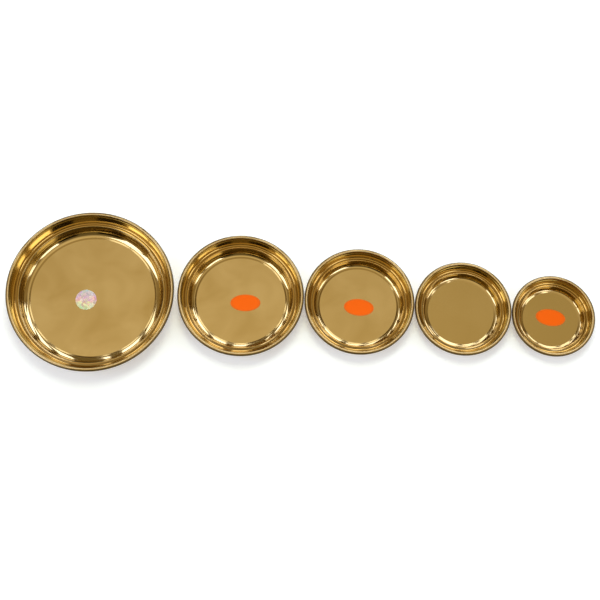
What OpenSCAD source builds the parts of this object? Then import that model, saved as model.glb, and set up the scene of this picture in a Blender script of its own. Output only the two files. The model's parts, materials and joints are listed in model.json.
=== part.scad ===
// Graded set of five thali plates, spun from brass sheet and set out in a row.
// Each plate is one sheet: flat floor with a small step round it, rounded heel, lower
// wall, ledge with a shallow gutter, upper wall, narrow lip, and an edge that curls over
// into a hollow bead.
// Four plates carry a label on the floor.

/* [Brass sheet] */
// Thickness of the sheet
gauge = 1; // [0.7:0.1:1.4]

/* [Rim] */
// Outside diameter of the curled bead at the rim
bead_d = 6.6; // [6:0.1:7]
// Slit left between the end of the curl and the wall
curl_slit = 0.3; // [0.2:0.05:0.5]
// Bend radius of the neck that sets the bead off from the lip, at mid-sheet
neck_r = 1.2; // [0.9:0.1:1.6]
// From the middle of the bead down to the middle of the neck bend
neck_drop = 0.6; // [0.4:0.1:1]
// Width of the lip between the upper wall and the neck
lip_w = 0.6; // [0.4:0.1:1]
// Bend radius at the edge of the lip, at mid-sheet
lip_r = 1; // [0.8:0.1:1.4]
// Slope of the lip, in degrees
lip_slope = 25; // [15:1:35]

/* [Ledge in the wall] */
// From the middle of the bend at the ledge's edge to that of its corner
ledge_w = 3.6; // [3.4:0.1:4]
// How far the corner of the ledge lies below its edge, which makes a shallow gutter
ledge_dip = 1.2; // [0.8:0.1:1.4]
// Bend radius at the edge of the ledge, at mid-sheet
ledge_edge_r = 1.2; // [1:0.1:1.3]
// Bend radius in the corner of the ledge, at mid-sheet
ledge_corner_r = 3.8; // [3.2:0.1:4]

/* [Step round the floor] */
// Width of the step, from the flat floor to the start of the heel
step_w = 3; // [2.6:0.1:3.4]
// Height of the step
step_h = 1; // [0.8:0.05:1.1]
// Bend radius in the corner and at the edge of the step, at mid-sheet
step_r = 1.2; // [1:0.1:1.3]
// Slope of the sheet where the heel starts, in degrees
heel_from = 8; // [6:1:10]

/* [Largest plate] */
// Diameter over the rim
largest_rim_d = 300; // [270:1:330]
// Height of the rim above the table
largest_height = 42.5; // [40.5:0.5:46.0]
// From the rim in to the edge of the flat floor
largest_wall_in = 37.5; // [36.5:0.5:42]
// From the rim in to the middle of the bend at the ledge's edge
largest_ledge_in = 19.3; // [19.0:0.1:20.0]
// Height of the ledge's edge above the table
largest_ledge_h = 23; // [22:0.5:24]
// Bend radius of the heel, at mid-sheet
largest_heel_r = 14.5; // [10:0.5:15]

/* [Second plate] */
// Diameter over the rim
second_rim_d = 229; // [205:1:250]
// Height of the rim above the table
second_height = 36; // [34:0.5:39.5]
// From the rim in to the edge of the flat floor
second_wall_in = 33; // [32:0.5:37]
// From the rim in to the middle of the bend at the ledge's edge
second_ledge_in = 18.4; // [18.1:0.1:19.1]
// Height of the ledge's edge above the table
second_ledge_h = 20.5; // [19.5:0.5:21.5]
// Bend radius of the heel, at mid-sheet
second_heel_r = 10; // [7:0.5:10.5]

/* [Third plate] */
// Diameter over the rim
third_rim_d = 201; // [180:1:220]
// Height of the rim above the table
third_height = 32; // [30:0.5:35.5]
// From the rim in to the edge of the flat floor
third_wall_in = 29.5; // [28.5:0.5:33]
// From the rim in to the middle of the bend at the ledge's edge
third_ledge_in = 17.3; // [17.0:0.1:18.0]
// Height of the ledge's edge above the table
third_ledge_h = 17.5; // [16.5:0.5:18.5]
// Bend radius of the heel, at mid-sheet
third_heel_r = 7.5; // [5:0.5:7.5]

/* [Fourth plate] */
// Diameter over the rim
fourth_rim_d = 178; // [160:1:196]
// Height of the rim above the table
fourth_height = 28.5; // [26.5:0.5:32.0]
// From the rim in to the edge of the flat floor
fourth_wall_in = 28; // [27:0.5:31]
// From the rim in to the middle of the bend at the ledge's edge
fourth_ledge_in = 17.6; // [17.3:0.1:18.3]
// Height of the ledge's edge above the table
fourth_ledge_h = 16; // [15:0.5:17]
// Bend radius of the heel, at mid-sheet
fourth_heel_r = 5.5; // [4:0.5:5.5]

/* [Smallest plate] */
// Diameter over the rim
smallest_rim_d = 154; // [138:1:170]
// Height of the rim above the table
smallest_height = 26.5; // [24.5:0.5:30.0]
// From the rim in to the edge of the flat floor
smallest_wall_in = 25.5; // [24.5:0.5:28]
// From the rim in to the middle of the bend at the ledge's edge
smallest_ledge_in = 16.2; // [15.9:0.1:16.9]
// Height of the ledge's edge above the table
smallest_ledge_h = 14.5; // [13.5:0.5:15.5]
// Bend radius of the heel, at mid-sheet
smallest_heel_r = 4.2; // [3:0.1:4.4]

/* [Row] */
// Gap between the rims of the largest and second plates
first_gap = 5.5; // [1:0.5:15]
// Gap between the other rims, which all but touch
rim_gap = 0.8; // [0.5:0.1:5]
// How far the second plate stands back from the line of the end plates
second_back = 7.5; // [0:0.5:15]
// How far the third plate stands back
third_back = 8; // [0:0.5:15]
// How far the fourth plate stands back
fourth_back = 5; // [0:0.5:15]

/* [Labels] */
// Thickness of a label
label_t = 0.2; // [0.1:0.05:0.4]
// Diameter of the round label in the largest plate
round_label_d = 38; // [25:1:50]
// Round label, from the middle of its plate along the row
round_label_x = -12; // [-30:1:30]
// Round label, from the middle of its plate across the row
round_label_y = -6; // [-30:1:30]
// Length of an oval label
oval_l = 55; // [40:1:62]
// Width of an oval label
oval_w = 32; // [22:1:40]
// Second plate's label, from the middle along the row
second_label_x = 8.5; // [-15:0.5:15]
// Second plate's label, from the middle across the row
second_label_y = -4.5; // [-15:0.5:15]
// Turn of the second plate's label
second_label_turn = 3; // [-45:1:45]
// Third plate's label, from the middle along the row
third_label_x = 1.5; // [-12:0.5:12]
// Third plate's label, from the middle across the row
third_label_y = -3; // [-12:0.5:12]
// Turn of the third plate's label
third_label_turn = -2; // [-45:1:45]
// Smallest plate's label, from the middle along the row
smallest_label_x = 0.5; // [-10:0.5:10]
// Smallest plate's label, from the middle across the row
smallest_label_y = 3.5; // [-10:0.5:10]
// Turn of the smallest plate's label
smallest_label_turn = -5; // [-45:1:45]

/* [Hidden] */

$fn = 180;
// Degrees of bend between two points of an outline
bend_step = 7.5;
// Points round an oval label
oval_points = 72;
brass = [0.79, 0.62, 0.30];
foil = [0.85, 0.83, 0.88];
orange_paper = [1, 0.42, 0.05];

// Places of the plates in the row
largest = 0;
second = 1;
third = 2;
fourth = 3;
smallest = 4;

rim_r = [largest_rim_d, second_rim_d, third_rim_d, fourth_rim_d, smallest_rim_d] / 2;
height = [largest_height, second_height, third_height, fourth_height, smallest_height];
wall_in = [largest_wall_in, second_wall_in, third_wall_in, fourth_wall_in, smallest_wall_in];
ledge_in = [largest_ledge_in, second_ledge_in, third_ledge_in, fourth_ledge_in, smallest_ledge_in];
ledge_h = [largest_ledge_h, second_ledge_h, third_ledge_h, fourth_ledge_h, smallest_ledge_h];
heel_r = [largest_heel_r, second_heel_r, third_heel_r, fourth_heel_r, smallest_heel_r];
back = [0, second_back, third_back, fourth_back, 0];

// The row: rims stand side by side with their gaps, and the row is centred on the origin
function gap_before(i) = i == second ? first_gap : rim_gap;
function along(i) =
    i == largest ? rim_r[i]
    : along(i - 1) + sqrt(pow(rim_r[i - 1] + rim_r[i] + gap_before(i), 2) - pow(back[i] - back[i - 1], 2));
row_length = along(smallest) + rim_r[smallest];
function stand(i) = [along(i) - row_length / 2, back[i], 0];

// A bend of the sheet is [centre, radius at mid-sheet], with a negative radius where the
// sheet turns down, and a heading is the sheet's direction in degrees above level.
bead_bend_r = (bead_d - gauge) / 2;
heel_across = [-sin(heel_from), cos(heel_from)];
lip_along = [cos(lip_slope), sin(lip_slope)];
lip_across = [-sin(lip_slope), cos(lip_slope)];
function floor_r(i) = rim_r[i] - wall_in[i];
function heel_start(i) = [floor_r(i) + step_w, gauge / 2 + step_h];
function step_corner(i) = [[floor_r(i), gauge / 2 + step_r], step_r];
function step_edge(i) = [heel_start(i) - step_r * heel_across, -step_r];
function heel(i) = [heel_start(i) + heel_r[i] * heel_across, heel_r[i]];
function ledge_edge(i) =
    [[rim_r[i] - ledge_in[i], ledge_h[i] - gauge / 2 - ledge_edge_r], -ledge_edge_r];
function ledge_corner(i) =
    [ledge_edge(i)[0] + [ledge_w, ledge_edge_r - ledge_dip + ledge_corner_r], ledge_corner_r];
function bead(i) = [[rim_r[i] - bead_d / 2, height[i] - bead_d / 2], -bead_bend_r];
function neck(i) = [bead(i)[0] - [bead_bend_r + neck_r, neck_drop], neck_r];
function lip(i) = [neck(i)[0] - lip_w * lip_along - (neck_r + lip_r) * lip_across, -lip_r];
function step_bends(i) = [step_corner(i), step_edge(i)];
function wall_bends(i) = [heel(i), ledge_edge(i), ledge_corner(i), lip(i), neck(i), bead(i)];

// Heading of the straight run that leaves one bend and meets the next
function run_heading(a, b) =
    let (d = b[0] - a[0])
    atan2(d.y, d.x) - asin((b[1] - a[1]) / norm(d));

// The curl goes round until its corner is a slit away from the wall
curl_turn = 360 - acos((bead_bend_r - gauge / 2 - curl_slit) / (bead_bend_r + gauge / 2));

// Headings into the first bend, between the bends, and at the end of the curl. The edge of
// the step touches the heel, so the heading between those two is the one given.
function headings(i) =
    let (w = wall_bends(i))
    let (runs = [for (k = [1 : len(w) - 1]) run_heading(w[k - 1], w[k])])
    concat([0, run_heading(step_corner(i), step_edge(i)), heel_from],
           runs, [runs[len(runs) - 1] - curl_turn]);

// Points round one bend, on the face that lies the given distance above mid-sheet
function bend_points(bend, from, to, above) =
    let (steps = max(2, ceil(abs(to - from) / bend_step)))
    [for (s = [0 : steps])
        let (h = from + (to - from) * s / steps)
        bend[0] - (bend[1] - above) * [-sin(h), cos(h)]];

// One face of the sheet, from the middle of the floor to the end of the curl
function face(i, above) =
    let (b = concat(step_bends(i), wall_bends(i)), h = headings(i))
    concat([[0, gauge / 2 + above]],
           [for (k = [0 : len(b) - 1]) each bend_points(b[k], h[k], h[k + 1], above)]);

function reversed(points) = [for (k = [len(points) - 1 : -1 : 0]) points[k]];
function sheet_outline(i) = concat(face(i, gauge / 2), reversed(face(i, -gauge / 2)));

module spun_plate(i) {
    translate(stand(i))
        rotate_extrude()
            polygon(sheet_outline(i));
}

// Puts a label on the floor of a plate
module on_floor(i, x, y, turn) {
    translate(stand(i) + [x, y, gauge])
        rotate(turn)
            children();
}

module oval_label() {
    linear_extrude(label_t)
        polygon([for (k = [0 : oval_points - 1])
            let (a = 360 * k / oval_points)
            [oval_l / 2 * cos(a), oval_w / 2 * sin(a)]]);
}

module largest_plate() color(brass) spun_plate(largest);

module second_plate() color(brass) spun_plate(second);

module third_plate() color(brass) spun_plate(third);

module fourth_plate() color(brass) spun_plate(fourth);

module smallest_plate() color(brass) spun_plate(smallest);

module round_label() {
    color(foil)
        on_floor(largest, round_label_x, round_label_y, 0)
            cylinder(d = round_label_d, h = label_t);
}

module second_label() {
    color(orange_paper)
        on_floor(second, second_label_x, second_label_y, second_label_turn)
            oval_label();
}

module third_label() {
    color(orange_paper)
        on_floor(third, third_label_x, third_label_y, third_label_turn)
            oval_label();
}

module smallest_label() {
    color(orange_paper)
        on_floor(smallest, smallest_label_x, smallest_label_y, smallest_label_turn)
            oval_label();
}

largest_plate();
second_plate();
third_plate();
fourth_plate();
smallest_plate();
round_label();
second_label();
third_label();
smallest_label();
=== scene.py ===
# %% [markdown]
# # A graded set of brass thali plates
# The object is a row of five plates, each spun from one disc of brass sheet, and four small labels stuck on
# their floors. The construction comes from the imported part. This lesson gives it its looks: shells that are
# smooth enough for a mirror polish, brass that shows how it was buffed and has painted shade on some rings,
# foil, paper, and a plain studio.

# %% Load the imported part
import json
import math
import bmesh
import bpy
from mathutils import Matrix, Vector


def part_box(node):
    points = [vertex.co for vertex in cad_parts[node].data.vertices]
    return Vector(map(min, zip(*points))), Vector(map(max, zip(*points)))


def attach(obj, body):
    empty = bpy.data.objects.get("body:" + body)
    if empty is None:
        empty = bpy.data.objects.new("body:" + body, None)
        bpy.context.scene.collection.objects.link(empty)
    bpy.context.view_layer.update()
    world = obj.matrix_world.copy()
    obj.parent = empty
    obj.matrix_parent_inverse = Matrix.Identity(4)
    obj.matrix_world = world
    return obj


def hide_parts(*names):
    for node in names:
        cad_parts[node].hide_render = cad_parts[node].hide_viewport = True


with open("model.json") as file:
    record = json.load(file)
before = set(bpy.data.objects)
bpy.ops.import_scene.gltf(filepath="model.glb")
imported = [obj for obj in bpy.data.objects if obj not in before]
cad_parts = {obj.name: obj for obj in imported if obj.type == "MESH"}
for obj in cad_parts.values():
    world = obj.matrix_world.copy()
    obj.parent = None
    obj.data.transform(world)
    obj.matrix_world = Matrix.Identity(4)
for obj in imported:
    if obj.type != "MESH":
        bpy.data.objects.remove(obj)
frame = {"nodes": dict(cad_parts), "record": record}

scene = bpy.context.scene
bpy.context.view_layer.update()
print("nodes:", ", ".join(sorted(frame["nodes"])))

# %% [markdown]
# ## The camera
# The plates were seen from above and a little from the near side, so each rim is an ellipse whose long axis
# turns from plate to plate. Those five ellipses are enough to work out the camera: its height, its tilt, its
# lens and a small roll. A camera looks along its own -Z, so the turns are applied in that order: heading,
# tilt, then roll about the line of sight. The ellipses were measured from the middles of pixels and a picture
# starts at the edge of one, so the lens is shifted by half a pixel.

# %% Place the camera
PICTURE_PX = 600
FOCAL_PX = 1105
HALF_PX = 0.5
SENSOR_MM = 36
CAMERA_PLACE = Vector((-0.0678, -0.6100, 1.9365))
CAMERA_HEADING = math.radians(5.71)
CAMERA_TILT = math.radians(72.08)
CAMERA_ROLL = math.radians(8.26)

camera_data = bpy.data.cameras.new("studio_camera")
camera_data.sensor_width = SENSOR_MM
camera_data.lens = SENSOR_MM * FOCAL_PX / PICTURE_PX
camera_data.shift_x = -HALF_PX / PICTURE_PX
camera_data.shift_y = HALF_PX / PICTURE_PX
camera = bpy.data.objects.new("studio_camera", camera_data)
scene.collection.objects.link(camera)
heading_turn = Matrix.Rotation(-CAMERA_HEADING, 4, "Z")
tilt_turn = Matrix.Rotation(math.pi / 2 - CAMERA_TILT, 4, "X")
roll_turn = Matrix.Rotation(CAMERA_ROLL, 4, "Z")
camera.matrix_world = Matrix.Translation(CAMERA_PLACE) @ heading_turn @ tilt_turn @ roll_turn
scene.camera = camera
print(f"camera lens {camera_data.lens:.1f} mm, {CAMERA_PLACE.length:.2f} m from the middle of the row")

# %% [markdown]
# ## Sizes of the sheets
# A spun plate is one sheet of constant gauge, so its section is a line that runs straight and bends: floor,
# a small step round it, heel, lower wall, ledge, upper wall, lip and curled bead. The sizes are those of the
# solids, in millimetres, and the place of each plate is read from the part's own record, at the mount under
# its floor.

# %% Sizes of the plates
MM = 0.001
GAUGE = 1.0
BEAD_D = 6.6
CURL_SLIT = 0.3
NECK_R = 1.2
NECK_DROP = 0.6
LIP_W = 0.6
LIP_R = 1.0
LIP_SLOPE = math.radians(25)
LEDGE_W = 3.6
LEDGE_DIP = 1.2
LEDGE_EDGE_R = 1.2
LEDGE_CORNER_R = 3.8
STEP_W = 3.0
STEP_H = 1.0
STEP_R = 1.2
HEEL_FROM = math.radians(8)

SIZE_NAMES = ("rim_d", "height", "wall_in", "ledge_in", "ledge_h", "heel_r")
PLATE_SIZES = {
    "largest": (300, 42.5, 37.5, 19.3, 23, 14.5),
    "second": (229, 36, 33, 18.4, 20.5, 10),
    "third": (201, 32, 29.5, 17.3, 17.5, 7.5),
    "fourth": (178, 28.5, 28, 17.6, 16, 5.5),
    "smallest": (154, 26.5, 25.5, 16.2, 14.5, 4.2),
}
PLATES = {name: dict(zip(SIZE_NAMES, sizes)) for name, sizes in PLATE_SIZES.items()}
for mount in frame["record"]["mounts"]:
    PLATES[mount["name"].removesuffix("_underside")]["place"] = Vector(mount["pos_m"])
for name, size in PLATES.items():
    size["rim_r"] = size["rim_d"] / 2
    size["floor_r"] = size["rim_r"] - size["wall_in"]
    size["ledge_r"] = size["rim_r"] - size["ledge_in"]
    print(f"{name}: rim {size['rim_d']} mm, floor {2 * size['floor_r']:.0f} mm, at x {size['place'].x:.3f} m")

# %% [markdown]
# ## The bends of a sheet
# Each bend is an arc about a centre, and the straight runs are the lines that touch two arcs. The heading of
# such a line follows from the two centres and radii, so nothing has to be drawn by eye. A radius is negative
# where the sheet turns down. The edge of the step and the heel touch, so the slope between them is given. The
# curl at the rim goes on until its end is a slit away from the wall.

# %% Work out the bends and headings
def heading_axes(heading):
    """Unit vectors along a sheet of the given heading, and across it towards the upper face."""
    return Vector((math.cos(heading), math.sin(heading))), Vector((-math.sin(heading), math.cos(heading)))


def sheet_bends(size):
    """Centre and mid-sheet radius of each bend, in millimetres out from the axis and up from the table."""
    floor_z = GAUGE / 2
    heel_across = heading_axes(HEEL_FROM)[1]
    heel_start = Vector((size["floor_r"] + STEP_W, floor_z + STEP_H))
    ledge_r, ledge_z = size["ledge_r"], size["ledge_h"] - GAUGE / 2
    bead_r = (BEAD_D - GAUGE) / 2
    bead = Vector((size["rim_r"] - BEAD_D / 2, size["height"] - BEAD_D / 2))
    neck = bead - Vector((bead_r + NECK_R, NECK_DROP))
    lip_along, lip_across = heading_axes(LIP_SLOPE)
    return [
        (Vector((size["floor_r"], floor_z + STEP_R)), STEP_R),
        (heel_start - STEP_R * heel_across, -STEP_R),
        (heel_start + size["heel_r"] * heel_across, size["heel_r"]),
        (Vector((ledge_r, ledge_z - LEDGE_EDGE_R)), -LEDGE_EDGE_R),
        (Vector((ledge_r + LEDGE_W, ledge_z - LEDGE_DIP + LEDGE_CORNER_R)), LEDGE_CORNER_R),
        (neck - LIP_W * lip_along - (NECK_R + LIP_R) * lip_across, -LIP_R),
        (neck, NECK_R),
        (bead, -bead_r),
    ]


def run_heading(bend, next_bend):
    """Heading, in radians above level, of the straight run between two bends."""
    step = next_bend[0] - bend[0]
    return math.atan2(step.y, step.x) - math.asin((next_bend[1] - bend[1]) / step.length)


def sheet_headings(bends):
    """Headings of the floor, of each run between bends, and of the end of the curl."""
    curl_r = -bends[-1][1]
    curl_turn = math.tau - math.acos((curl_r - GAUGE / 2 - CURL_SLIT) / (curl_r + GAUGE / 2))
    wall = bends[2:]
    runs = [run_heading(bend, next_bend) for bend, next_bend in zip(wall, wall[1:])]
    return [0.0, run_heading(*bends[:2]), HEEL_FROM] + runs + [runs[-1] - curl_turn]


for name, size in PLATES.items():
    degrees = [round(math.degrees(heading), 1) for heading in sheet_headings(sheet_bends(size))]
    print(f"{name}: lower wall at {degrees[3]} degrees, upper wall at {degrees[5]}")

# %% [markdown]
# ## Drawing the section with operators
# The section is drawn the way the metal would be bent. A straight run extrudes the last point to a new place,
# and a bend spins that point round the centre of the arc. Drawing with operators keeps each run exactly
# straight and each bend exactly round, which a mirror polish would otherwise give away.

# %% Helpers that draw a section
BEND_STEP = math.radians(4)
FEWEST_STEPS = 4


def section_point(size, out, up):
    """A point of the section, given out from the axis and up in millimetres, as a place in metres."""
    return size["place"] + Vector((out, 0, up)) * MM


def run_to(section, point, place):
    """Extrudes the last point of a chain to a new place."""
    made = bmesh.ops.extrude_vert_indiv(section, verts=[point])
    made["verts"][0].co = place
    return made["verts"][0]


def bend_round(section, point, centre, turn):
    """Spins the last point of a chain round the centre of a bend."""
    steps = max(FEWEST_STEPS, math.ceil(abs(turn) / BEND_STEP))
    made = bmesh.ops.spin(section, geom=[point], cent=centre, axis=(0, -1, 0), angle=turn, steps=steps)
    return next(item for item in made["geom_last"] if isinstance(item, bmesh.types.BMVert))


def bend_start(bend, heading, above):
    """Where a face meets a bend at a heading, in millimetres out from the axis and up from the table."""
    return bend[0] - (bend[1] - above) * heading_axes(heading)[1]


# %% [markdown]
# ## The two faces of a sheet
# A sheet has an inner and an outer face, each a chain of its own, and they are joined at the end of the curl.
# Two marks are set on the points while they are drawn. The first is painted shade: a faint dark line in the
# tight inner corners and a dark line on the outer flank of the bead, standing in for the shade and the dark
# reflections there. From there down, the outside is dull brass, tinted darker as painted shade.

# %% Helpers that draw one face of a sheet
# painted shade: a dark line in the inner corners and on the bead's outer flank, where there is only shade and
# dark reflection
PAINTED_SHADE_BELOW_R = 2.0
PAINTED_SHADE_FADE = 0.4
PAINTED_SHADE_IN_BENDS = 0.1
BEAD_SHADE_FROM = math.radians(-16)
BEAD_SHADE_TO = math.radians(-115)


def shaded_bend(section, point, size, bend, into, out_of, above, painted_shade):
    """Bends the sheet with a faint painted shade in the corner, fading out a little before and after the
    bend.
    """
    along = heading_axes(into)[0]
    start = bend_start(bend, into, above)
    point = run_to(section, point, section_point(size, *(start - PAINTED_SHADE_FADE * along)))
    point = run_to(section, point, section_point(size, *start))
    point[painted_shade] = PAINTED_SHADE_IN_BENDS
    point = bend_round(section, point, section_point(size, *bend[0]), out_of - into)
    after = bend_start(bend, out_of, above) + PAINTED_SHADE_FADE * heading_axes(out_of)[0]
    point = run_to(section, point, section_point(size, *after))
    point[painted_shade] = 0.0
    return point


def draw_face(section, size, above, painted_shade, dull):
    """Draws one face, a distance above mid-sheet, and returns the point at the end of the curl."""
    bends = sheet_bends(size)
    headings = sheet_headings(bends)
    inside = above > 0
    point = section.verts.new(section_point(size, 0, GAUGE / 2 + above))
    point[dull] = 0.0 if inside else 1.0
    for bend, into, out_of in zip(bends[:-1], headings, headings[1:]):
        if inside and 0 < bend[1] < PAINTED_SHADE_BELOW_R:
            point = shaded_bend(section, point, size, bend, into, out_of, above, painted_shade)
        else:
            point = run_to(section, point, section_point(size, *bend_start(bend, into, above)))
            point = bend_round(section, point, section_point(size, *bend[0]), out_of - into)
    bead, into, out_of = bends[-1], headings[-2], headings[-1]
    centre = section_point(size, *bead[0])
    point = run_to(section, point, section_point(size, *bend_start(bead, into, above)))
    # the outer flank of the bead gets a dark line of painted shade, and then the dull outside begins
    point = bend_round(section, point, centre, BEAD_SHADE_FROM - into)
    point[painted_shade] = 1.0 if inside else 0.0
    point = bend_round(section, point, centre, BEAD_SHADE_TO - BEAD_SHADE_FROM)
    point[painted_shade] = 0.0
    point[dull] = 1.0
    return bend_round(section, point, centre, out_of - BEAD_SHADE_TO)


# %% [markdown]
# ## Spinning the plates
# On the real plate the disc turns on a lathe while a tool presses it over a form. Here the section is spun a
# full turn about the axis of the plate. The seam is merged by the operator, and the points on the axis, which
# a spin leaves in many copies, are merged after it. Only the cut edge of the curl is sharp.

# %% Spin each plate and let it stand for its solid
TURN_STEPS = 192
SAME_POINT = 1e-6
SHARP = math.radians(40)


def spin_plate(name, size):
    """One plate as a closed shell, riding on its own body in place of the plain solid."""
    section = bmesh.new()
    section.verts.layers.float.new("painted_shade")
    section.verts.layers.float.new("dull")
    marks = section.verts.layers.float["painted_shade"], section.verts.layers.float["dull"]
    upper_end = draw_face(section, size, GAUGE / 2, *marks)
    lower_end = draw_face(section, size, -GAUGE / 2, *marks)
    section.edges.new((upper_end, lower_end))
    outline = section.verts[:] + section.edges[:]
    bmesh.ops.spin(section, geom=outline, cent=size["place"], axis=(0, 0, 1), angle=math.tau,
                   steps=TURN_STEPS, use_merge=True)
    bmesh.ops.remove_doubles(section, verts=section.verts[:], dist=SAME_POINT)
    bmesh.ops.recalc_face_normals(section, faces=section.faces[:])
    mesh = bpy.data.meshes.new(f"{name}_shell")
    section.to_mesh(mesh)
    section.free()
    mesh.shade_smooth()
    mesh.set_sharp_from_angle(angle=SHARP)
    plate = bpy.data.objects.new(f"{name}_shell", mesh)
    scene.collection.objects.link(plate)
    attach(plate, f"{name}_plate")
    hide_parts(f"{name}_plate")
    return plate


shells = {name: spin_plate(name, size) for name, size in PLATES.items()}
for name, plate in shells.items():
    print(f"{name}: {len(plate.data.polygons)} faces")

# %% [markdown]
# ## Helpers for materials
# A material is a tree of nodes. Each helper below adds one kind of node and returns its output, so that a
# material can be written as a calculation: a value goes in as a number, a colour or the output of another.

# %% Small helpers for node trees
def new_material(name):
    """A node material, its tree, and the shader already in it."""
    material = bpy.data.materials.new(name)
    material.use_nodes = True
    tree = material.node_tree
    return material, tree, tree.nodes["Principled BSDF"]


def add_node(tree, kind, **settings):
    """Adds a node and sets its properties."""
    node = tree.nodes.new(kind)
    for key, value in settings.items():
        setattr(node, key, value)
    return node


def feed(tree, socket, value):
    """Links a socket to an output, or sets it to a number or colour."""
    if isinstance(value, bpy.types.NodeSocket):
        tree.links.new(value, socket)
    else:
        socket.default_value = value


def calculate(tree, operation, *values):
    """A Math node, and its output."""
    node = add_node(tree, "ShaderNodeMath", operation=operation)
    for socket, value in zip(node.inputs, values):
        feed(tree, socket, value)
    return node.outputs["Value"]


def remap(tree, value, from_low, from_high, to_low, to_high):
    """A Map Range node, and its output."""
    node = add_node(tree, "ShaderNodeMapRange")
    tree.links.new(value, node.inputs["Value"])
    numbers = {"From Min": from_low, "From Max": from_high, "To Min": to_low, "To Max": to_high}
    for key, number in numbers.items():
        node.inputs[key].default_value = number
    return node.outputs["Result"]


def blend(tree, factor, first, second, mode="MIX"):
    """A Mix node for two colours, and its output."""
    node = add_node(tree, "ShaderNodeMix", data_type="RGBA", blend_type=mode)
    for key, value in (("Factor", factor), ("A", first), ("B", second)):
        feed(tree, node.inputs[key], value)
    return node.outputs["Result"]


# %% Helpers for patterns
BUMP_DISTANCE = 0.0001


def object_place(tree):
    """Object coordinates, which are the shared frame in metres."""
    return add_node(tree, "ShaderNodeTexCoord").outputs["Object"]


def centred_place(tree, middle):
    """Object coordinates moved so that a point is their middle."""
    node = add_node(tree, "ShaderNodeMapping", vector_type="POINT")
    node.inputs["Location"].default_value = -middle
    tree.links.new(object_place(tree), node.inputs["Vector"])
    return node.outputs["Vector"]


def split_place(tree, place):
    """The X, Y and Z of a place."""
    node = add_node(tree, "ShaderNodeSeparateXYZ")
    tree.links.new(place, node.inputs["Vector"])
    return node.outputs


def noise(tree, place, scale, detail, twist=0.0):
    """A Noise Texture, and its output."""
    node = add_node(tree, "ShaderNodeTexNoise")
    for key, number in {"Scale": scale, "Detail": detail, "Distortion": twist}.items():
        node.inputs[key].default_value = number
    tree.links.new(place, node.inputs["Vector"])
    return node.outputs["Fac"]


def add_bump(tree, shader, height, strength):
    """Gives a shader a fine relief."""
    node = add_node(tree, "ShaderNodeBump")
    node.inputs["Strength"].default_value = strength
    node.inputs["Distance"].default_value = BUMP_DISTANCE
    tree.links.new(height, node.inputs["Height"])
    tree.links.new(node.outputs["Normal"], shader.inputs["Normal"])


# %% [markdown]
# ## Rings of a plate
# Whatever happens to a spun and buffed plate goes round its axis, so its looks are told apart by the
# distance from the axis: the satin floor, the step and its edge, the lower wall that is painted darker as
# shade, the crest of the ledge, the gutter behind it, the crease inside the rim, and the top of the bead that
# takes the wear. Several of these rings carry painted shade. Each ring becomes a value that is 1 on the ring
# and
# 0 elsewhere. A line is given by its distance from the ledge or the rim and by half its width, in
# millimetres.

# %% Find the rings
BAND_SOFT = 0.5
STEP_EDGE_HALF = 0.3
CREST_LINE = (-0.5, 1.6)
GUTTER_LINE = (2.6, 1.1)
GUTTER_RING = (4.8, 2.0)
CREASE_LINE = (6.9, 1.9)
WORN_LINE = (4.4, 0.8)


def ring_band(tree, from_axis, middle, half):
    """1 on a ring of the plate, given by its radius and half its width in millimetres, and 0 elsewhere."""
    away = calculate(tree, "ABSOLUTE", calculate(tree, "SUBTRACT", from_axis, middle * MM))
    return remap(tree, away, (half - BAND_SOFT) * MM, (half + BAND_SOFT) * MM, 1.0, 0.0)


def ramp_out(tree, from_axis, start, end, low, high):
    """A value that changes from low to high between two radii in millimetres."""
    return remap(tree, from_axis, start * MM, end * MM, low, high)


def plate_rings(tree, size, from_axis):
    """Every ring of a plate that looks different from plain polished brass."""
    floor_r, ledge_r, rim_r = size["floor_r"], size["ledge_r"], size["rim_r"]
    # the lower wall's ring is painted shade: a dark tint for its dark reflections, with a little roughness
    shade_from = (floor_r + ledge_r) / 2
    shade_in = ramp_out(tree, from_axis, shade_from, (shade_from + ledge_r) / 2, 0.0, 1.0)
    shade_out = ramp_out(tree, from_axis, ledge_r - 2 * BAND_SOFT, ledge_r, 1.0, 0.0)
    return {
        "floor": ramp_out(tree, from_axis, floor_r - BAND_SOFT, floor_r + 2 * BAND_SOFT, 1.0, 0.0),
        "step": ring_band(tree, from_axis, floor_r + STEP_W / 2, STEP_W / 2),
        "step_edge": ring_band(tree, from_axis, floor_r + STEP_W, STEP_EDGE_HALF),
        "lower_wall_shade": calculate(tree, "MULTIPLY", shade_in, shade_out),
        "crest": ring_band(tree, from_axis, ledge_r + CREST_LINE[0], CREST_LINE[1]),
        "gutter_line": ring_band(tree, from_axis, ledge_r + GUTTER_LINE[0], GUTTER_LINE[1]),
        "gutter": ring_band(tree, from_axis, ledge_r + GUTTER_RING[0], GUTTER_RING[1]),
        "crease": ring_band(tree, from_axis, rim_r - CREASE_LINE[0], CREASE_LINE[1]),
        "bead_top": ring_band(tree, from_axis, rim_r - WORN_LINE[0], WORN_LINE[1]),
    }


# %% [markdown]
# ## Roughness of the brass
# The polish is what tells brass from a yellow mirror. The buffing wheel leaves fine rings, handling leaves
# soft smears, and the floor is more satin than the walls. The rings of painted shade and the worn top of the
# bead add roughness on their own rings, and the outside was never polished. The two marks that were drawn on
# the section come back here as attributes of the mesh.

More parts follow.
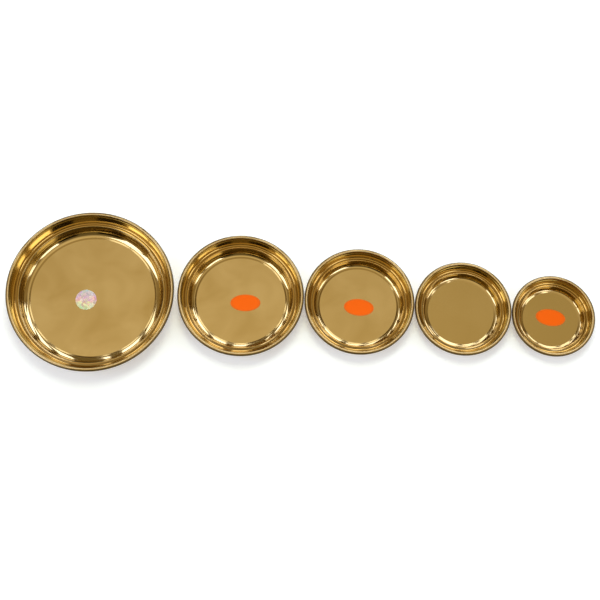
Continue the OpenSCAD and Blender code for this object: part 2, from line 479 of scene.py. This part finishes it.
# %% Polish of the brass
# per plate: the share of the step's satin and painted shade, the deeper floor, the crest's painted shade, and
# the tint of the lower wall's painted shade
FINISH_NAMES = ("step_satin_and_shade", "deep_floor", "crest_shade", "lower_wall_shade_tint")
FINISHES = {
    "largest": (0.9, 0.0, 0.0, (0.30, 0.21, 0.06, 1)),
    "second": (0.9, 0.0, 0.6, (0.26, 0.175, 0.035, 1)),
    "third": (0.9, 0.2, 0.8, (0.25, 0.16, 0.022, 1)),
    "fourth": (0.25, 0.8, 0.45, (0.25, 0.165, 0.02, 1)),
    "smallest": (0.4, 1.0, 0.5, (0.26, 0.16, 0.025, 1)),
}
WALL_ROUGHNESS = 0.07
FLOOR_ROUGHNESS = 0.11
OUTSIDE_ROUGHNESS = 0.42
PAINTED_SHADE_ROUGHNESS = 0.35
WORN_ROUGHNESS = 0.45
CREASE_ROUGHNESS = 0.08
LOWER_WALL_ROUGHNESS = 0.07
SMEAR_SPAN = (0.35, 0.7)
SMEAR_ROUGHNESS = (-0.01, 0.03)
BUFFING_SPAN = (0.3, 0.7)
BUFFING_ROUGHNESS = (-0.01, 0.01)
GUTTER_PAINTED_SHADE = 0.7
STEP_EDGE_PAINTED_SHADE = 0.3


def mark(tree, name):
    """A mark that was drawn on the section."""
    return add_node(tree, "ShaderNodeAttribute", attribute_name=name).outputs["Fac"]


def painted_shade_of(tree, rings, finish):
    """Where painted shade goes: in the marked corners and on the bead's flank, in the gutter and at the
    step's edge.
    """
    in_gutter = calculate(tree, "MULTIPLY", rings["gutter_line"], GUTTER_PAINTED_SHADE)
    at_step = calculate(tree, "MULTIPLY", rings["step_edge"], finish["step_satin_and_shade"] * STEP_EDGE_PAINTED_SHADE)
    return calculate(tree, "MAXIMUM", calculate(tree, "MAXIMUM", mark(tree, "painted_shade"), in_gutter), at_step)


def roughness_of(tree, rings, smears, buffing):
    """Roughness of a plate, inside and outside."""
    satin = calculate(tree, "MAXIMUM", rings["floor"], rings["step"])
    polish = remap(tree, satin, 0.0, 1.0, WALL_ROUGHNESS, FLOOR_ROUGHNESS)
    polish = calculate(tree, "ADD", polish, remap(tree, smears, *SMEAR_SPAN, *SMEAR_ROUGHNESS))
    polish = calculate(tree, "ADD", polish, remap(tree, buffing, *BUFFING_SPAN, *BUFFING_ROUGHNESS))
    added = {"painted_shade": PAINTED_SHADE_ROUGHNESS, "bead_top": WORN_ROUGHNESS, "crease": CREASE_ROUGHNESS,
             "lower_wall_shade": LOWER_WALL_ROUGHNESS}
    for ring, amount in added.items():
        polish = calculate(tree, "MULTIPLY_ADD", rings[ring], amount, polish)
    both = add_node(tree, "ShaderNodeMix")
    for key, value in (("Factor", mark(tree, "dull")), ("A", polish), ("B", OUTSIDE_ROUGHNESS)):
        feed(tree, both.inputs[key], value)
    return both.outputs["Result"]


# %% [markdown]
# ## Tint of the brass
# Polished brass has no colour of its own besides the tint that it gives to what it mirrors. The tint clouds
# softly between a lighter and a deeper brass. Over it goes painted shade: a dark tint on the lower wall,
# deeper warmer brass on the step, the crest and the gutter, dark brown in the crease, a very dark line in the
# corners, gutter, step edge and bead flank, and a darker tint on the dull outside. The floors of the small
# plates are deeper, and the top of the bead is worn. The tints are laid over each other from the widest to
# the finest.

# %% Colour of the brass
BRASS_LIGHT = (0.935, 0.72, 0.275, 1)
BRASS_DEEP = (0.76, 0.55, 0.17, 1)
# painted shade: the dull outside is tinted darker, which darkens the outline of the rim
OUTSIDE_SHADE_BRASS = (0.55, 0.34, 0.11, 1)
BRASS_WORN = (0.86, 0.65, 0.24, 1)
# painted shade: a deeper, warmer brass on the gutter and the crest that dims their reflections
WARM_SHADE_BRASS = (0.65, 0.39, 0.07, 1)
# painted shade on the step round the floor, which dims its reflections
STEP_SHADE_BRASS = (0.52, 0.35, 0.085, 1)
BRASS_SMALL_FLOOR = (0.66, 0.48, 0.14, 1)
# painted shade in the crease inside the rim, over the lip and the inner side of the bead
CREASE_SHADE_BRASS = (0.37, 0.225, 0.02, 1)
# painted shade: a very dark line in the corners, the gutter, at the step's edge and on the bead's flank
PAINTED_SHADE = (0.085, 0.048, 0.012, 1)
CLOUD_SPAN = (0.3, 0.75)
LOWER_WALL_SHADE_SHARE = 0.85
GUTTER_SHADE_SHARE = 0.9
CREASE_SHADE_SHARE = 0.9
PAINTED_SHADE_SHARE = 0.9


def colour_of(tree, rings, smears, finish):
    """Tint of a plate, inside and outside, with its painted shade."""
    colour = blend(tree, remap(tree, smears, *CLOUD_SPAN, 0.0, 1.0), BRASS_LIGHT, BRASS_DEEP)
    layers = (
        ("lower_wall_shade", LOWER_WALL_SHADE_SHARE, finish["lower_wall_shade_tint"]),
        ("floor", finish["deep_floor"], BRASS_SMALL_FLOOR),
        ("step", 1.0, STEP_SHADE_BRASS),
        ("gutter", GUTTER_SHADE_SHARE, WARM_SHADE_BRASS),
        ("crest", finish["crest_shade"], WARM_SHADE_BRASS),
        ("crease", CREASE_SHADE_SHARE, CREASE_SHADE_BRASS),
        ("bead_top", 1.0, BRASS_WORN),
        ("painted_shade", PAINTED_SHADE_SHARE, PAINTED_SHADE),
    )
    for ring, share, tint in layers:
        colour = blend(tree, calculate(tree, "MULTIPLY", rings[ring], share), colour, tint)
    # the dull outside is rougher, and its darker tint is painted shade
    return blend(tree, mark(tree, "dull"), colour, OUTSIDE_SHADE_BRASS)


# %% [markdown]
# ## Brass on the plates
# The pattern of each plate is centred on its own axis. The buffing is a noise that changes fast outwards and
# slowly round the plate, so it makes rings. Brushed rings also stretch a highlight across themselves, and
# that is what the shader's anisotropy, with its tangent round the axis, is for.

# %% Put the brass together
RINGS_PER_M = 700.0
BUFFING_DETAIL = 2.0
BUFFING_BUMP = 0.02
BRUSHING = 0.4
SMEARS_PER_M = 14.0
SMEAR_DETAIL = 2.0
SMEAR_TWIST = 0.6


def buffing_rings(tree, x, y, from_axis):
    """Fine rings round the axis."""
    place = add_node(tree, "ShaderNodeCombineXYZ")
    tree.links.new(calculate(tree, "MULTIPLY", from_axis, RINGS_PER_M), place.inputs["X"])
    tree.links.new(calculate(tree, "DIVIDE", x, from_axis), place.inputs["Y"])
    tree.links.new(calculate(tree, "DIVIDE", y, from_axis), place.inputs["Z"])
    return noise(tree, place.outputs["Vector"], 1.0, BUFFING_DETAIL)


def brass(name, size):
    """Brass of one plate, its rings centred on the plate's axis."""
    material, tree, shader = new_material(f"brass_{name}")
    finish = dict(zip(FINISH_NAMES, FINISHES[name]))
    place = centred_place(tree, size["place"])
    x, y, _ = split_place(tree, place)
    squares = calculate(tree, "MULTIPLY", x, x), calculate(tree, "MULTIPLY", y, y)
    from_axis = calculate(tree, "SQRT", calculate(tree, "ADD", *squares))
    buffing = buffing_rings(tree, x, y, from_axis)
    smears = noise(tree, place, SMEARS_PER_M, SMEAR_DETAIL, SMEAR_TWIST)
    rings = plate_rings(tree, size, from_axis)
    rings["step"] = calculate(tree, "MULTIPLY", rings["step"], finish["step_satin_and_shade"])
    rings["painted_shade"] = painted_shade_of(tree, rings, finish)
    tree.links.new(roughness_of(tree, rings, smears, buffing), shader.inputs["Roughness"])
    tree.links.new(colour_of(tree, rings, smears, finish), shader.inputs["Base Color"])
    add_bump(tree, shader, buffing, BUFFING_BUMP)
    around = add_node(tree, "ShaderNodeTangent", direction_type="RADIAL", axis="Z")
    tree.links.new(around.outputs["Tangent"], shader.inputs["Tangent"])
    shader.inputs["Anisotropic"].default_value = BRUSHING
    shader.inputs["Metallic"].default_value = 1.0
    return material


for name, size in PLATES.items():
    shells[name].data.materials.append(brass(name, size))
    print("brass on", shells[name].name)

# %% [markdown]
# ## Labels
# The labels are thin flat cuts of foil and paper, and their solids already have the right shape, so they stay
# and only get a finish. The foil is a pressed grating that splits light into pale colours, patch by patch,
# and its hues drift from one side of the label to the other. The paper is a strong orange that deepens
# towards its cut edge and has a soft grain. Both are left plain.

# %% Foil of the round label
FOIL_R = 19.0
FOIL_HUES = (1.35, 0.59)
FOIL_HUE_SPREAD = (-0.14, 0.14)
FOIL_SATURATION = (0.1, 0.44)
FOIL_VALUE = (0.7, 1.0)
FOIL_ROUGHNESS = (0.2, 0.45)
FOIL_TINT = (0.95, 0.90, 0.64, 1)
FOIL_METALLIC = 0.4
PATCHES_PER_M = 210.0


def foil_patches(tree, place):
    """Three random values between 0 and 1 for each patch of the foil."""
    patches = add_node(tree, "ShaderNodeTexVoronoi")
    patches.inputs["Scale"].default_value = PATCHES_PER_M
    tree.links.new(place, patches.inputs["Vector"])
    cell = add_node(tree, "ShaderNodeSeparateColor")
    tree.links.new(patches.outputs["Color"], cell.inputs["Color"])
    return cell.outputs


def foil(middle):
    """Silver foil with pale iridescent patches."""
    material, tree, shader = new_material("iridescent_foil")
    place = centred_place(tree, middle)
    first, second, third = foil_patches(tree, place)
    drift = remap(tree, split_place(tree, place)["Y"], -FOIL_R * MM, FOIL_R * MM, *FOIL_HUES)
    hue = calculate(tree, "ADD", drift, remap(tree, first, 0.0, 1.0, *FOIL_HUE_SPREAD))
    colour = add_node(tree, "ShaderNodeCombineColor", mode="HSV")
    tree.links.new(calculate(tree, "FRACT", hue), colour.inputs["Red"])
    tree.links.new(remap(tree, second, 0.0, 1.0, *FOIL_SATURATION), colour.inputs["Green"])
    tree.links.new(remap(tree, third, 0.0, 1.0, *FOIL_VALUE), colour.inputs["Blue"])
    warmed = blend(tree, 1.0, colour.outputs["Color"], FOIL_TINT, "MULTIPLY")
    tree.links.new(warmed, shader.inputs["Base Color"])
    tree.links.new(remap(tree, second, 0.0, 1.0, *FOIL_ROUGHNESS), shader.inputs["Roughness"])
    shader.inputs["Metallic"].default_value = FOIL_METALLIC
    return material


# %% Paper of the oval labels
ORANGE = (0.90, 0.132, 0.002, 1)
ORANGE_EDGE = (0.76, 0.13, 0.006, 1)
OVAL_L = 55.0
OVAL_W = 32.0
EDGE_FROM = 0.8
GRAIN_PER_M = 900.0
GRAIN_DETAIL = 4.0
GRAIN_SPAN = (0.3, 0.7)
GRAIN_BUMP = 0.15
LABEL_ROUGHNESS = (0.38, 0.5)
LABEL_GLOSS = 0.08


def oval_reach(tree, middle, turn):
    """Distance from the middle of an oval, 1 at its edge."""
    place = add_node(tree, "ShaderNodeMapping", vector_type="TEXTURE")
    place.inputs["Location"].default_value = middle
    place.inputs["Rotation"].default_value = (0, 0, turn)
    place.inputs["Scale"].default_value = (OVAL_L / 2 * MM, OVAL_W / 2 * MM, 1)
    tree.links.new(object_place(tree), place.inputs["Vector"])
    flat = add_node(tree, "ShaderNodeVectorMath", operation="MULTIPLY")
    flat.inputs[1].default_value = (1, 1, 0)
    tree.links.new(place.outputs["Vector"], flat.inputs[0])
    reach = add_node(tree, "ShaderNodeVectorMath", operation="LENGTH")
    tree.links.new(flat.outputs["Vector"], reach.inputs[0])
    return reach.outputs["Value"]


def orange_paper(name, middle, turn):
    """Coated orange paper, a little deeper in tone towards the cut edge."""
    material, tree, shader = new_material(f"orange_paper_{name}")
    near_edge = remap(tree, oval_reach(tree, middle, turn), EDGE_FROM, 1.0, 0.0, 1.0)
    tree.links.new(blend(tree, near_edge, ORANGE, ORANGE_EDGE), shader.inputs["Base Color"])
    grain = noise(tree, object_place(tree), GRAIN_PER_M, GRAIN_DETAIL)
    tree.links.new(remap(tree, grain, *GRAIN_SPAN, *LABEL_ROUGHNESS), shader.inputs["Roughness"])
    add_bump(tree, shader, grain, GRAIN_BUMP)
    shader.inputs["Specular IOR Level"].default_value = LABEL_GLOSS
    return material


# %% Finish the labels
LABEL_TURNS = {"second": 3, "third": -2, "smallest": -5}


def middle_of(node):
    """Middle of a solid's box, in metres."""
    low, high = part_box(node)
    return (low + high) / 2


def finish_label(node, material):
    """Gives a solid that stays its own finish."""
    label = frame["nodes"][node]
    label.data.materials.clear()
    label.data.materials.append(material)


finish_label("round_label", foil(middle_of("round_label")))
for name, turn in LABEL_TURNS.items():
    node = f"{name}_label"
    finish_label(node, orange_paper(name, middle_of(node), math.radians(turn)))
print("labels finished:", len(LABEL_TURNS) + 1)

# %% [markdown]
# ## The studio floor
# The plates stand on white paper. Paper that is lit at a plain level is a light grey, so the camera, and any
# metal that mirrors the paper, sees a little light added to it. The paper still takes the shadows of the
# plates, because the added light doesn't replace the lit surface.

# %% White paper floor
PAPER_SIZE = 30.0
PAPER_ALBEDO = (0.78, 0.85, 0.69, 1)
PAPER_ROUGHNESS = 0.9
PAPER_LIFT = 0.345


def white_paper():
    """White paper, lifted to white for rays that show it."""
    material, tree, shader = new_material("white_paper")
    shader.inputs["Base Color"].default_value = PAPER_ALBEDO
    shader.inputs["Roughness"].default_value = PAPER_ROUGHNESS
    path = add_node(tree, "ShaderNodeLightPath")
    shown = calculate(tree, "MAXIMUM", path.outputs["Is Camera Ray"], path.outputs["Is Glossy Ray"])
    shown = calculate(tree, "MAXIMUM", shown, path.outputs["Is Transmission Ray"])
    lift = add_node(tree, "ShaderNodeEmission")
    tree.links.new(calculate(tree, "MULTIPLY", shown, PAPER_LIFT), lift.inputs["Strength"])
    both = add_node(tree, "ShaderNodeAddShader")
    tree.links.new(shader.outputs["BSDF"], both.inputs[0])
    tree.links.new(lift.outputs["Emission"], both.inputs[1])
    tree.links.new(both.outputs["Shader"], tree.nodes["Material Output"].inputs["Surface"])
    return material


def stage_piece(name, shape, material):
    """A mesh object of the studio, which isn't part of the plates."""
    mesh = bpy.data.meshes.new(name)
    shape.to_mesh(mesh)
    shape.free()
    piece = bpy.data.objects.new(name, mesh)
    scene.collection.objects.link(piece)
    piece.data.materials.append(material)
    return piece


sheet = bmesh.new()
bmesh.ops.create_grid(sheet, x_segments=1, y_segments=1, size=PAPER_SIZE / 2)
stage_piece("paper_floor", sheet, white_paper())
print("paper floor", PAPER_SIZE, "m across")

# %% [markdown]
# ## A soft lamp
# The plates throw soft shadows on the paper that fade quickly, mostly to the near side. A large round lamp,
# high on the far side, makes such shadows. It is not shown to glossy rays: the brass has the room to mirror,
# and a lamp of its own in each plate would be one too many. A direction in the room is an azimuth, 0 on the
# far side and 90 on the right, and an elevation.

# %% Lamp for the paper and the labels
LAMP_AZIMUTH = -8
LAMP_ELEVATION = 72
LAMP_AWAY = 2.4
LAMP_SIZE = 1.0
LAMP_WATTS = 20


def direction_to(turn, rise):
    """Unit vector to an azimuth and an elevation, both in degrees."""
    turn, rise = math.radians(turn), math.radians(rise)
    return Vector((math.sin(turn) * math.cos(rise), math.cos(turn) * math.cos(rise), math.sin(rise)))


lamp_data = bpy.data.lights.new("soft_lamp", "AREA")
lamp_data.shape = "DISK"
lamp_data.size = LAMP_SIZE
lamp_data.energy = LAMP_WATTS
lamp = bpy.data.objects.new("soft_lamp", lamp_data)
to_lamp = direction_to(LAMP_AZIMUTH, LAMP_ELEVATION)
lamp.location = to_lamp * LAMP_AWAY
lamp.rotation_euler = to_lamp.to_track_quat("Z", "Y").to_euler()
lamp.visible_glossy = False
scene.collection.objects.link(lamp)
print(f"lamp {LAMP_AWAY} m away, {LAMP_SIZE} m across")

# %% [markdown]
# ## A room for polished metal
# A polished plate is lit by what it mirrors, so a plain room is put all round it. The flat floors mirror the
# ceiling, which is paler overhead. The near side is dark, with two screens that are darker still, and that
# gives the metal its dark bands. The room is a world background, worked out from the world's own direction
# vector, so it needs no geometry.

# %% Walls and ceiling of the room
CEILING = (0.64, 0.535, 0.45, 1)
CEILING_EDGE = (0.50, 0.418, 0.355, 1)
SIDE_WALL = (0.26, 0.19, 0.11, 1)
FAR_WALL = (0.15, 0.11, 0.06, 1)
NEAR_WALL = (0.14, 0.11, 0.07, 1)
FAR_TO_SIDE = (55, 65)
SIDE_TO_NEAR = (140, 148)
WALL_TO_CEILING = (52, 64)
EDGE_TO_OVERHEAD = (64, 80)

world = bpy.data.worlds.new("room")
scene.world = world
world.use_nodes = True
room = world.node_tree
room_x, room_y, room_z = split_place(room, add_node(room, "ShaderNodeTexCoord").outputs["Generated"])
azimuth = calculate(room, "DEGREES", calculate(room, "ARCTAN2", room_x, room_y))
elevation = calculate(room, "DEGREES", calculate(room, "ARCSINE", room_z))
to_side = calculate(room, "ABSOLUTE", azimuth)
walls = blend(room, remap(room, to_side, *FAR_TO_SIDE, 0, 1), FAR_WALL, SIDE_WALL)
walls = blend(room, remap(room, to_side, *SIDE_TO_NEAR, 0, 1), walls, NEAR_WALL)
ceiling = blend(room, remap(room, elevation, *EDGE_TO_OVERHEAD, 0, 1), CEILING_EDGE, CEILING)
surroundings = blend(room, remap(room, elevation, *WALL_TO_CEILING, 0, 1), walls, ceiling)
print("room: far wall, side walls, near wall and ceiling")

# %% Dark screens on the near side
DARK_SCREEN = (0.012, 0.008, 0.004, 1)
SCREEN_SIDE_SOFT = 1.5
SCREEN_TOP_SOFT = 4.5
SCREENS = {"screen_left": (-157, 14, 36), "screen_right": (153, 12, 36)}


def upright(middle, half, top):
    """1 on an upright screen of the room, given in degrees, and 0 beside and above it, with a soft edge."""
    away = calculate(room, "ABSOLUTE", calculate(room, "SUBTRACT", azimuth, middle))
    across = remap(room, away, half - SCREEN_SIDE_SOFT, half + SCREEN_SIDE_SOFT, 1, 0)
    below_top = remap(room, elevation, top - SCREEN_TOP_SOFT, top + SCREEN_TOP_SOFT, 1, 0)
    return calculate(room, "MULTIPLY", across, below_top)


for name, (middle, half, top) in SCREENS.items():
    surroundings = blend(room, upright(middle, half, top), surroundings, DARK_SCREEN)
    print(f"{name}: {2 * half} degrees wide, up to {top} degrees")
room.links.new(surroundings, room.nodes["Background"].inputs["Color"])
scene.view_settings.view_transform = "Standard"

# %% [markdown]
# ## Windows
# The white patches on the heels and the gold streaks on the walls are windows. They stand a few metres away,
# so each plate of the row sees them in a slightly different direction, and its highlights shift with it. So
# the windows are glowing panes at that distance, bowed round the largest plate, where they were measured. The
# glow is a little blue, which turns white in one bounce off brass and gold in two. The camera doesn't see the
# panes, so they never stand in the way of a view.

# %% Glowing panes
WINDOW_LIGHT = (2.1, 2.2, 3.4, 1)
WINDOW_AWAY = 3.2
WINDOW_CUTS = 6
WINDOWS = {
    "left_near": (-125, 11.5, 31, 72),
    "left_far": (-98.5, 11.5, 16, 72),
    "far_left": (-51.5, 5, 4, 52),
    "far_left_middle": (-35.5, 5.5, 4, 50),
    "far_slit": (-21.5, 1.6, 4, 44),
    "far_middle": (2.5, 5, 4, 52),
    "far_right_inner": (19, 5.5, 4, 57),
    "far_right": (38.5, 8.5, 4, 56),
    "right_slit": (54, 5, 4, 28),
    "right_far": (96, 6.5, 4, 42),
    "right_near": (125.5, 13.5, 27, 53),
}


def window_glow():
    """A plain glow for the panes."""
    material, tree, _ = new_material("window_glow")
    glow = add_node(tree, "ShaderNodeEmission")
    glow.inputs["Color"].default_value = WINDOW_LIGHT
    tree.links.new(glow.outputs["Emission"], tree.nodes["Material Output"].inputs["Surface"])
    return material


def window_pane(name, middle, half, bottom, top, material):
    """A pane given by its middle and half width, its sill and its top, all in degrees."""
    pane = bmesh.new()
    bmesh.ops.create_grid(pane, x_segments=WINDOW_CUTS, y_segments=WINDOW_CUTS, size=1.0)
    for point in pane.verts:
        turn = middle + half * point.co.x
        rise = (bottom + top) / 2 + (top - bottom) / 2 * point.co.y
        point.co = PLATES["largest"]["place"] + WINDOW_AWAY * direction_to(turn, rise)
    stage_piece(f"window_{name}", pane, material).visible_camera = False


glow = window_glow()
for name, (middle, half, bottom, top) in WINDOWS.items():
    window_pane(name, middle, half, bottom, top, glow)
    print(f"window {name}: {2 * half} degrees wide, {bottom} to {top} degrees up")
